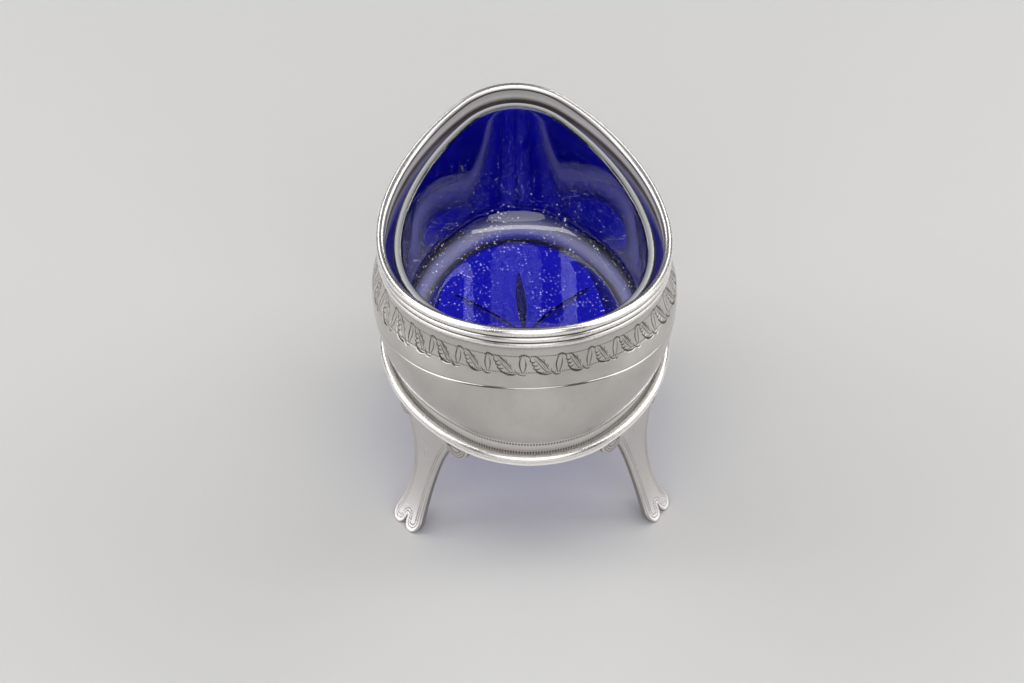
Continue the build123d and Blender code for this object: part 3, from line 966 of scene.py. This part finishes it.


# %% The shared wear and shade group
CLOUD_SCALE, FLECK_SCALE, SMUDGE_SCALE = 120.0, 1500.0, 400.0
FLECK_SHARE = 0.5
STREAKS = [((300.0, 9000.0, 9000.0), (0.3, 0.2, 0.9)), ((9000.0, 300.0, 7000.0), (0.2, 0.7, 0.4))]
wear_ends = ["Recess", "Cloud"], ["Tarnish", "Scratch", "Smudge"]
wear, wear_in, wear_out = new_group("silver_wear", *wear_ends)
wear_place = wear.nodes.new("ShaderNodeTexCoord").outputs["Object"]
cloud = between(wear, noise(wear, wear_place, CLOUD_SCALE, 5.0), 0.45, 0.75)
fleck = between(wear, noise(wear, wear_place, FLECK_SCALE, 3.0), 0.55, 0.8)
mottle = times_plus(wear, fleck, FLECK_SHARE, cloud)
# this mask is tarnish and painted shade: its input also carries a painted shadow line
tarnish = times_plus(wear, mottle, wear_in.outputs["Cloud"], wear_in.outputs["Recess"])
link(wear, between(wear, tarnish, 0.0, 1.0), wear_out.inputs["Tarnish"])
streaks = [noise(wear, stretched(wear, wear_place, *pull), 1.0, 2.0) for pull in STREAKS]
scratch = math_node(wear, "MAXIMUM", *(between(wear, streak, 0.62, 0.8) for streak in streaks))
link(wear, scratch, wear_out.inputs["Scratch"])
smudge = between(wear, noise(wear, wear_place, SMUDGE_SCALE, 6.0, 0.65), 0.35, 0.75)
link(wear, smudge, wear_out.inputs["Smudge"])
print("wear group has", len(wear.nodes), "nodes")

# %% Silver
MATT_ROUGHNESS, MATT_WHITE = 0.6, 0.8
TARNISH_ROUGHNESS, SMUDGE_ROUGHNESS = 0.22, 0.06
SCRATCH_STRENGTH, SCRATCH_DEPTH = 0.12, 0.00002


def silver(name, bright, dark, roughness, cloud_amount):
    """Metal that goes from bright to dark with the tarnish and painted shade, and grows rougher with
    them.
    """
    material = bpy.data.materials.new(name)
    material.use_nodes = True
    tree = material.node_tree
    shader = tree.nodes["Principled BSDF"]
    group = add_node(tree, "ShaderNodeGroup", node_tree=wear)
    group.inputs["Cloud"].default_value = cloud_amount
    # these values hold tarnish and a painted shadow line
    recess = add_node(tree, "ShaderNodeAttribute", attribute_name="recess")
    link(tree, recess.outputs["Fac"], group.inputs["Recess"])
    mix = add_node(tree, "ShaderNodeMix", data_type="RGBA")
    colour_a, colour_b = [s for s in mix.inputs if s.type == "RGBA"]
    colour_a.default_value = (*bright, 1)
    colour_b.default_value = (*dark, 1)
    link(tree, group.outputs["Tarnish"], mix.inputs["Factor"])
    link(tree, [s for s in mix.outputs if s.type == "RGBA"][0], shader.inputs["Base Color"])
    matt = add_node(tree, "ShaderNodeAttribute", attribute_name="matt").outputs["Fac"]
    blanched = math_node(tree, "MULTIPLY", matt, MATT_WHITE)
    link(tree, math_node(tree, "SUBTRACT", 1.0, blanched), shader.inputs["Metallic"])
    rough = times_plus(tree, matt, MATT_ROUGHNESS, roughness)
    rough = times_plus(tree, group.outputs["Tarnish"], TARNISH_ROUGHNESS, rough)
    rough = times_plus(tree, group.outputs["Smudge"], SMUDGE_ROUGHNESS, rough)
    link(tree, rough, shader.inputs["Roughness"])
    values = {"Strength": SCRATCH_STRENGTH, "Distance": SCRATCH_DEPTH}
    bump = add_node(tree, "ShaderNodeBump", values)
    link(tree, group.outputs["Scratch"], bump.inputs["Height"])
    link(tree, bump.outputs["Normal"], shader.inputs["Normal"])
    return material


polished = silver("polished_silver", (0.72, 0.69, 0.665), (0.085, 0.068, 0.055), 0.10, 0.12)
rubbed = silver("rubbed_silver", (0.90, 0.875, 0.85), (0.075, 0.06, 0.05), 0.25, 0.05)
satin = silver("satin_silver", (0.63, 0.60, 0.59), (0.11, 0.088, 0.075), 0.27, 0.04)
print("silvers:", ", ".join(m.name for m in (polished, rubbed, satin)))

# %% [markdown]
# ## Cobalt glass
# Cobalt glass takes out nearly everything but blue, and more of it the further light travels, so
# the colour comes from an absorbing volume inside a clear skin, with a coat for a stronger gleam.
# Salt specks and the ground rim scatter light and look white. A faint glow, which is painted light,
# stands for that, because the shader of clear glass has no white of its own. The same glow paints a
# highlight: a pale arc in the round at the edge of the floor. Fine rubs make the skin a little rough
# in streaks.

# %% Glowing salt specks and rubs
SPECK_CELLS, SPECK_SIZE = 1600.0, 0.36
PATCH_SCALE = 260.0
SALT_HIGH, SALT_LOW = 0.050, 0.031
RUB_PULL = (500.0, 8000.0, 8000.0), (0.4, 0.5, 0.7)
dust, dust_in, dust_out = new_group("dust_and_rubs", ["Amount"], ["Specks", "Rubs"])
dust_place = dust.nodes.new("ShaderNodeTexCoord").outputs["Object"]
cells = add_node(dust, "ShaderNodeTexVoronoi", {"Scale": SPECK_CELLS})
link(dust, dust_place, cells.inputs["Vector"])
height = add_node(dust, "ShaderNodeSeparateXYZ")
link(dust, dust_place, height.inputs["Vector"])
settled = times_plus(dust, between(dust, height.outputs["Z"], SALT_HIGH, SALT_LOW), 0.6, 0.4)
cloudy = between(dust, noise(dust, dust_place, PATCH_SCALE, 2.0), 0.28, 0.62)
patch = math_node(dust, "MULTIPLY", cloudy, settled)
glint = times_plus(dust, cells.outputs["Color"], 0.8, 0.2)
salted_patch = math_node(dust, "MULTIPLY", patch, dust_in.outputs["Amount"])
grain = math_node(dust, "MULTIPLY", math_node(dust, "MULTIPLY", salted_patch, SPECK_SIZE), glint)
speck = math_node(dust, "LESS_THAN", cells.outputs["Distance"], grain)
# painted light: each speck glows, at a random brightness
link(dust, math_node(dust, "MULTIPLY", speck, glint), dust_out.inputs["Specks"])
rub = noise(dust, stretched(dust, dust_place, *RUB_PULL), 1.0, 2.0)
link(dust, between(dust, rub, 0.64, 0.8), dust_out.inputs["Rubs"])
print("salt group has", len(dust.nodes), "nodes")

# %% Glass
FROST, FROST_ROUGHNESS = 0.75, 0.09
SKIN_ROUGHNESS, RUB_ROUGHNESS = 0.02, 0.025
ABSORBING = {"Color": (0.012, 0.012, 0.945, 1), "Density": 800.0}
CLEAR_SKIN = {
    "Base Color": (0.45, 0.45, 1.0, 1),
    "Transmission Weight": 1.0,
    "IOR": 1.52,
    "Coat Weight": 1.0,
    "Coat IOR": 1.6,
    "Coat Roughness": 0.02,
    # painted light: the emission makes the ground rim, the painted arc and the specks glow
    "Emission Strength": 0.7,
}
glass = bpy.data.materials.new("cobalt_glass")
glass.use_nodes = True
tree = glass.node_tree
skin_shader = tree.nodes["Principled BSDF"]
for label, value in CLEAR_SKIN.items():
    skin_shader.inputs[label].default_value = value
volume = add_node(tree, "ShaderNodeVolumeAbsorption", ABSORBING)
link(tree, volume.outputs["Volume"], tree.nodes["Material Output"].inputs["Volume"])
specks = add_node(tree, "ShaderNodeGroup", node_tree=dust)
salt = add_node(tree, "ShaderNodeAttribute", attribute_name="matt").outputs["Fac"]
link(tree, salt, specks.inputs["Amount"])
# this attribute is a glow mask here: the ground rim and a painted highlight arc
frosted = add_node(tree, "ShaderNodeAttribute", attribute_name="recess").outputs["Fac"]
white = times_plus(tree, frosted, FROST, specks.outputs["Specks"])
link(tree, white, skin_shader.inputs["Emission Color"])
glass_rough = times_plus(tree, frosted, FROST_ROUGHNESS, SKIN_ROUGHNESS)
glass_rough = times_plus(tree, specks.outputs["Rubs"], RUB_ROUGHNESS, glass_rough)
link(tree, glass_rough, skin_shader.inputs["Roughness"])

finishes = {"foot": satin, "glass": glass, "reeded": rubbed, "base": rubbed}
for piece in pieces:
    piece.data.materials.append(finishes.get(piece.name.split("_")[0], polished))
print("finishes:", ", ".join(f"{piece.name} {piece.data.materials[0].name}" for piece in pieces))

# %% [markdown]
# ## Studio
# Polished silver shows whatever stands round it. A long strip hangs above, a large soft panel
# stands in front, two low panels light the sides, and two strips behind draw the far edges. The
# room itself is dim and darkens towards the horizon, which gives the belly something to reflect.
# The floor is pale and matt.

# %% Floor
FLOOR_HALF = 3.0
PAPER, PAPER_ROUGHNESS = (0.62, 0.615, 0.605, 1), 0.6
floor_corners = [(FLOOR_HALF * x, FLOOR_HALF * y, 0) for x, y in ((-1, -1), (1, -1), (1, 1), (-1, 1))]
floor_mesh = bpy.data.meshes.new("floor")
floor_mesh.from_pydata(floor_corners, [], [(0, 1, 2, 3)])
floor_object = bpy.data.objects.new("floor", floor_mesh)
bpy.context.scene.collection.objects.link(floor_object)
paper = bpy.data.materials.new("pale_floor")
paper.use_nodes = True
paper_shader = paper.node_tree.nodes["Principled BSDF"]
paper_shader.inputs["Base Color"].default_value = PAPER
paper_shader.inputs["Roughness"].default_value = PAPER_ROUGHNESS
floor_mesh.materials.append(paper)
print(f"floor {2 * FLOOR_HALF:.0f} m square")

# %% Room
HORIZON, LOW_ROOM, CEILING = (0.07, 0.07, 0.073, 1), (0.10, 0.10, 0.103, 1), (0.25, 0.25, 0.25, 1)
LOW_ROOM_AT = 0.35
world = bpy.data.worlds.new("studio")
bpy.context.scene.world = world
world.use_nodes = True
room = world.node_tree
direction = add_node(room, "ShaderNodeSeparateXYZ")
link(room, room.nodes.new("ShaderNodeTexCoord").outputs["Generated"], direction.inputs["Vector"])
ramp = add_node(room, "ShaderNodeValToRGB")
ramp.color_ramp.elements[0].color = HORIZON
ramp.color_ramp.elements[1].color = CEILING
ramp.color_ramp.elements.new(LOW_ROOM_AT).color = LOW_ROOM
link(room, direction.outputs["Z"], ramp.inputs["Fac"])
link(room, ramp.outputs["Color"], room.nodes["Background"].inputs["Color"])
print("room:", len(ramp.color_ramp.elements), "tones")

# %% Lamps
AIM, STEEP = (0.0, 0.0, 0.04), 0.9
PANELS = [
    ("top_strip", "RECTANGLE", (0.0, 0.0, 0.85), 2.40, 0.16, 3.3),
    ("front_soft", "ELLIPSE", (0.0, -0.62, 0.50), 1.20, 1.10, 4.4),
    ("left_low", "RECTANGLE", (-0.62, 0.08, 0.22), 0.45, 0.40, 1.2),
    ("right_low", "RECTANGLE", (0.62, 0.10, 0.22), 0.45, 0.40, 1.2),
    ("left_back", "RECTANGLE", (-0.56, 0.46, 0.52), 0.90, 0.22, 1.9),
    ("right_back", "RECTANGLE", (0.56, 0.46, 0.52), 0.90, 0.22, 1.9),
]


def panel(name, shape, place, width, height, power):
    """A soft lamp of this shape at a place in metres, facing the object."""
    lamp = bpy.data.lights.new(name, "AREA")
    lamp.shape = shape
    lamp.size, lamp.size_y = width, height
    lamp.energy = power
    holder = bpy.data.objects.new(name, lamp)
    back = np.array(place) - np.array(AIM)
    back = back / np.linalg.norm(back)
    right = np.cross((0.0, 1.0, 0.0) if abs(back[2]) > STEEP else (0.0, 0.0, 1.0), back)
    right = right / np.linalg.norm(right)
    turn = np.stack([right, np.cross(back, right), back, place], -1)
    holder.matrix_world = Matrix(turn.tolist() + [[0, 0, 0, 1]])
    bpy.context.scene.collection.objects.link(holder)


for settings in PANELS:
    panel(*settings)
print("lamps:", ", ".join(settings[0] for settings in PANELS))

# %% [markdown]
# ## Camera
# The camera was fitted to the rim, base ring and feet: a long lens, 39 degrees above the table,
# looking along the boat from one end.

# %% Camera
FOCAL_PIXELS, IMAGE_WIDTH, SENSOR = 4500.0, 1024.0, 36.0
AIM_HEIGHT, DISTANCE, MOVE_LEFT, MOVE_UP = 25.0, 925.50, 2.56, 0.30
CLIP_START = 0.05
elevation, yaw, roll = np.radians([38.88, -3.33, -0.26])
back = np.array([np.sin(yaw), -np.cos(yaw), 0.0]) * np.cos(elevation)
back[2] = np.sin(elevation)
right = np.array([np.cos(yaw), np.sin(yaw), 0.0])
up = np.cross(back, right)
right, up = right * np.cos(roll) + up * np.sin(roll), up * np.cos(roll) - right * np.sin(roll)
eye = np.array([0.0, 0.0, AIM_HEIGHT]) + back * DISTANCE - right * MOVE_LEFT + up * MOVE_UP
lens = bpy.data.cameras.new("camera")
lens.sensor_width = SENSOR
lens.lens = FOCAL_PIXELS / IMAGE_WIDTH * SENSOR
lens.clip_start = CLIP_START
camera = bpy.data.objects.new("camera", lens)
camera.matrix_world = Matrix(np.stack([right, up, back, eye * MM], -1).tolist() + [[0, 0, 0, 1]])
bpy.context.scene.collection.objects.link(camera)
bpy.context.scene.camera = camera
bpy.context.scene.view_settings.view_transform = "Standard"
print(f"camera at {np.round(eye, 1).tolist()} mm, lens {lens.lens:.1f} mm")
